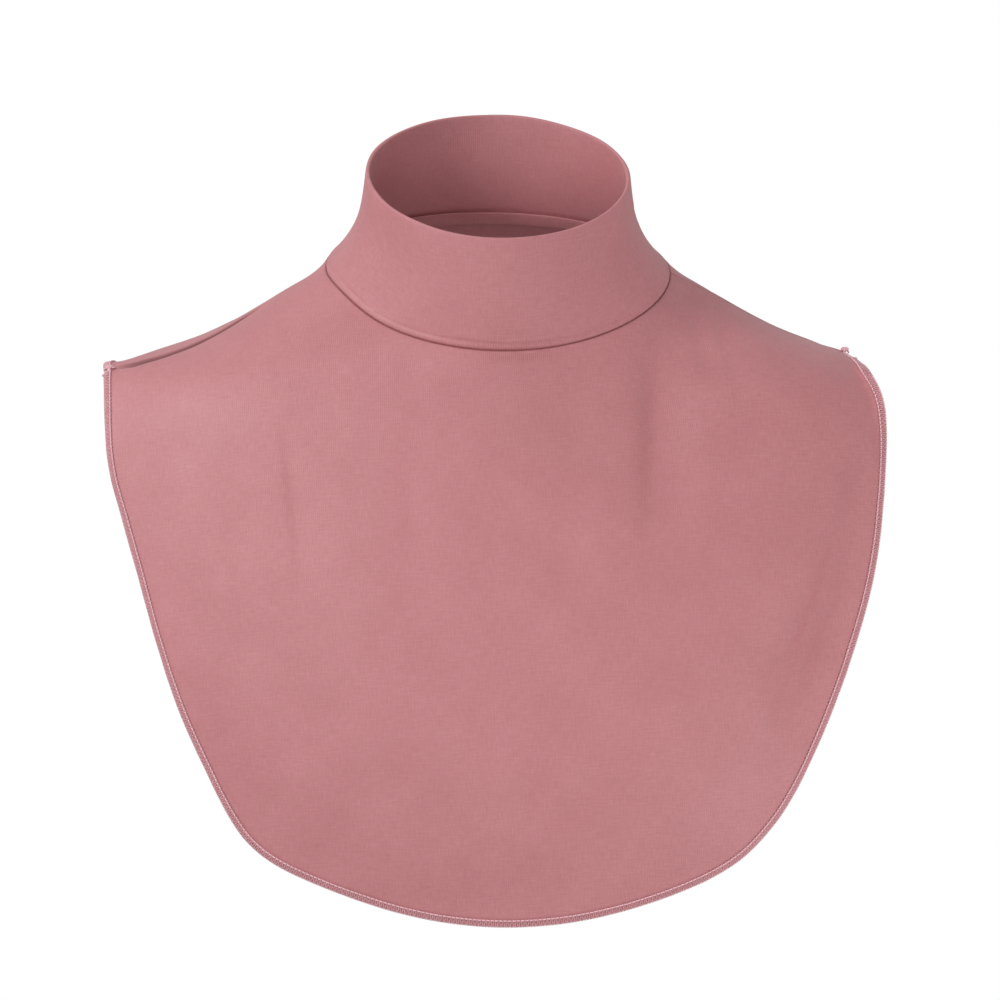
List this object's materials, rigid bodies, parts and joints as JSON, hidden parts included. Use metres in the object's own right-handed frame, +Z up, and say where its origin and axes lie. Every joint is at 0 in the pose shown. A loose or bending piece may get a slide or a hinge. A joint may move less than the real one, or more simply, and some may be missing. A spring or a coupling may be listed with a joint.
{
  "type": "turtleneck dickey",
  "caption": "Turtleneck dickey in dusty pink knitted jersey: a double stand collar on a short front and back bib with overlocked edges, in its worn shape.",
  "frame": {"origin": "middle of the neck, level with the collar seam at the sides of the neck", "axes": "+Z up along the neck, -Y to the wearer's front, +X to the wearer's left"},
  "size_m": [0.3473, 0.2259, 0.3355],
  "materials": {
    "jersey": "matt single jersey knit, slightly heathered dusty pink",
    "thread": "soft textured overlock thread in a paler pink"
  },
  "bodies": {
    "root": {"collar": "jersey", "front_panel": "jersey", "back_panel": "jersey", "front_edge": "thread", "back_edge": "thread", "neck_seam": "jersey", "shoulder_seam_right": "jersey", "shoulder_seam_left": "jersey"}
  },
  "joints": []
}
